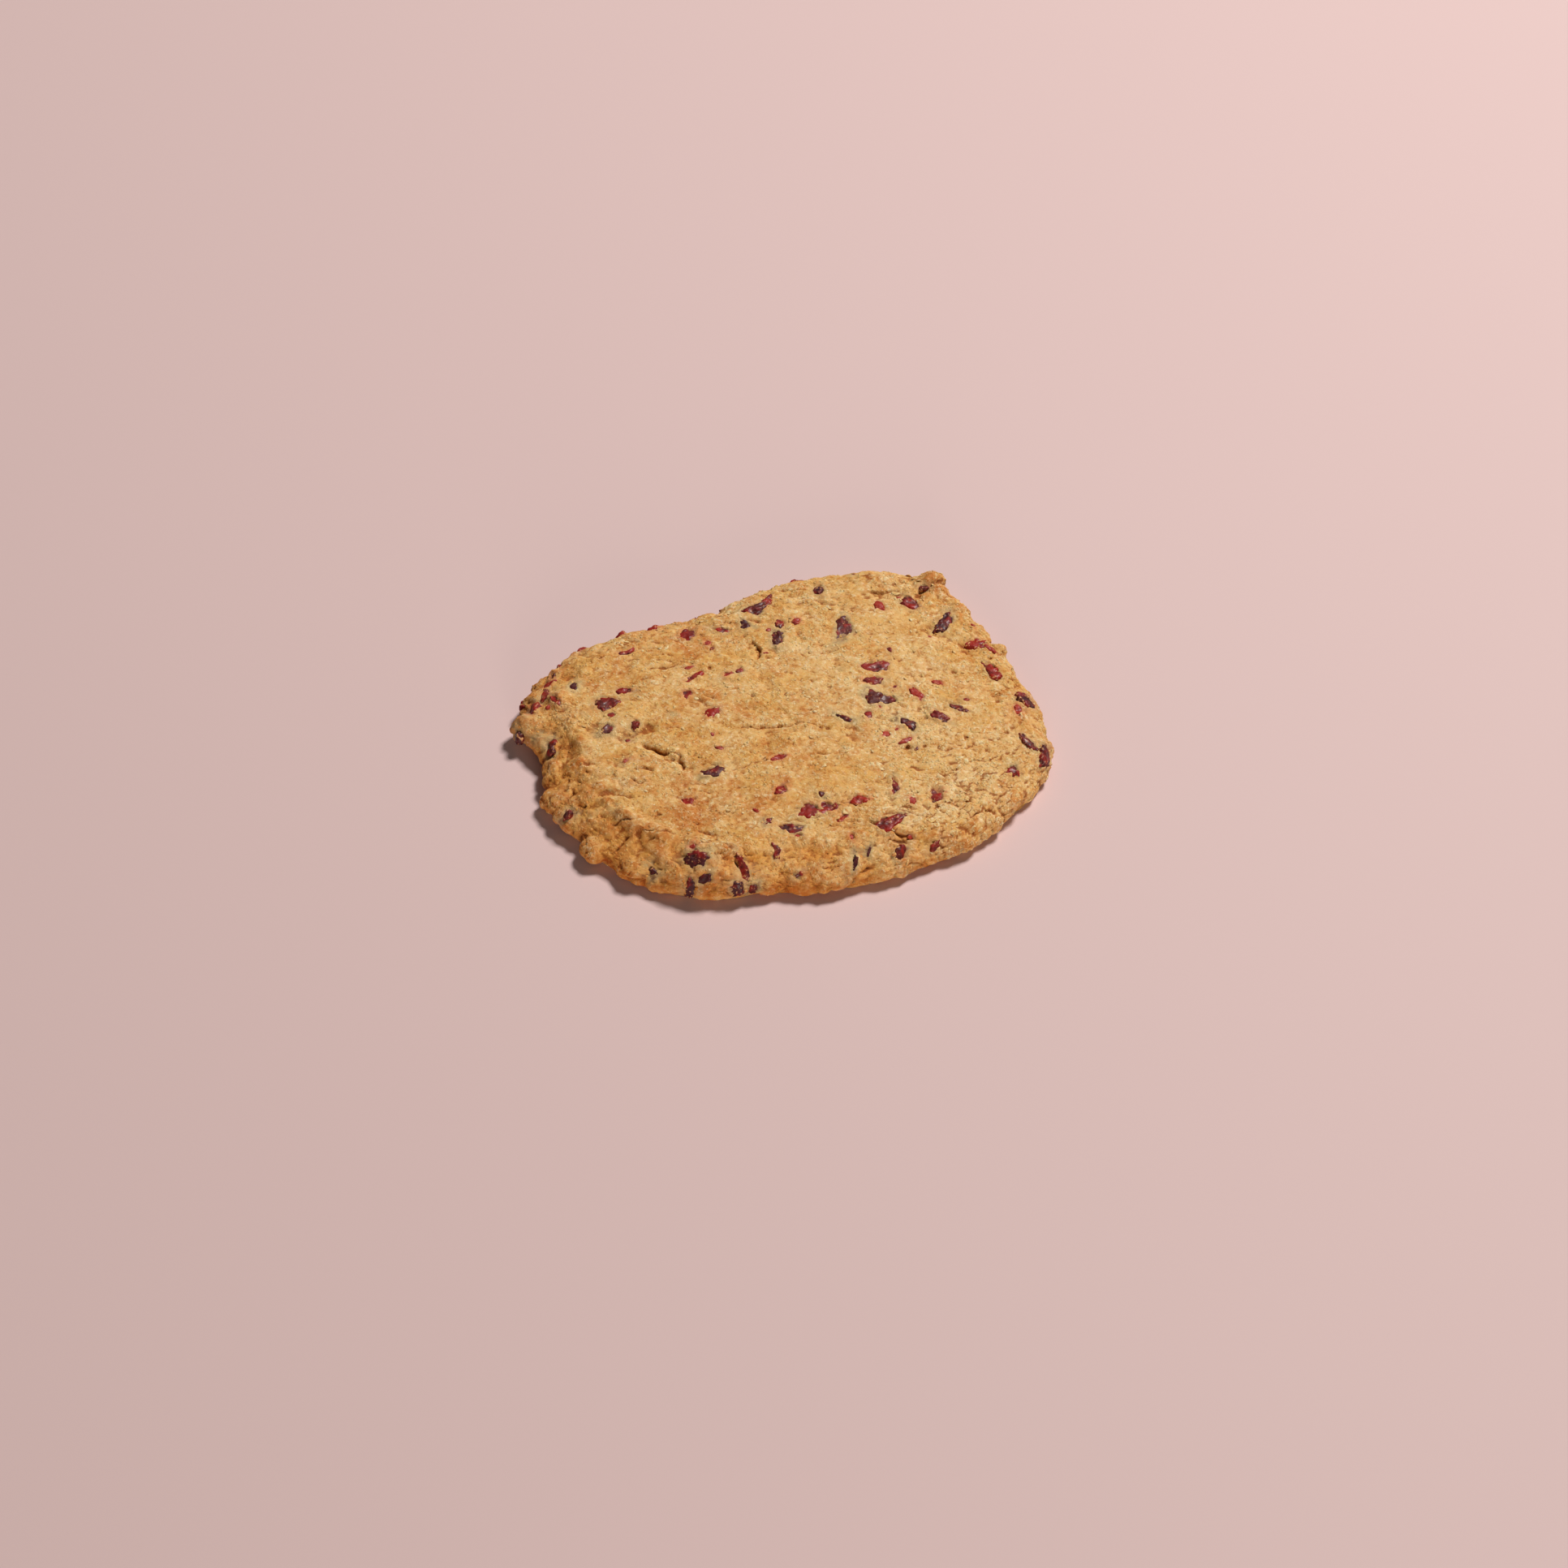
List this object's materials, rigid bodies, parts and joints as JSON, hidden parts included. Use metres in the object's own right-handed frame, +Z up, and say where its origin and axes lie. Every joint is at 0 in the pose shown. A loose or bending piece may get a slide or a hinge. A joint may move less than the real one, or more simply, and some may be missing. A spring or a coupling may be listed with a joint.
{
  "type": "oatmeal cranberry cookie",
  "caption": "Large, flat, uneven baked oat cookie with a craggy rim and chopped dried cranberries in its crust.",
  "frame": {"origin": "middle of the outline's bounding box, on the flat underside", "axes": "+Z up through the thickness, +X along the longest way across, +Y across it towards the far, straighter side"},
  "size_m": [0.1278, 0.1034, 0.0104],
  "materials": {
    "dough": "dry golden baked crumb, matte and grainy",
    "cranberry": "dark red dried fruit skin, wrinkled and slightly glossy",
    "oat": "pale rolled oat flake, matte"
  },
  "bodies": {
    "root": {"cookie": "dough"}
  },
  "joints": []
}
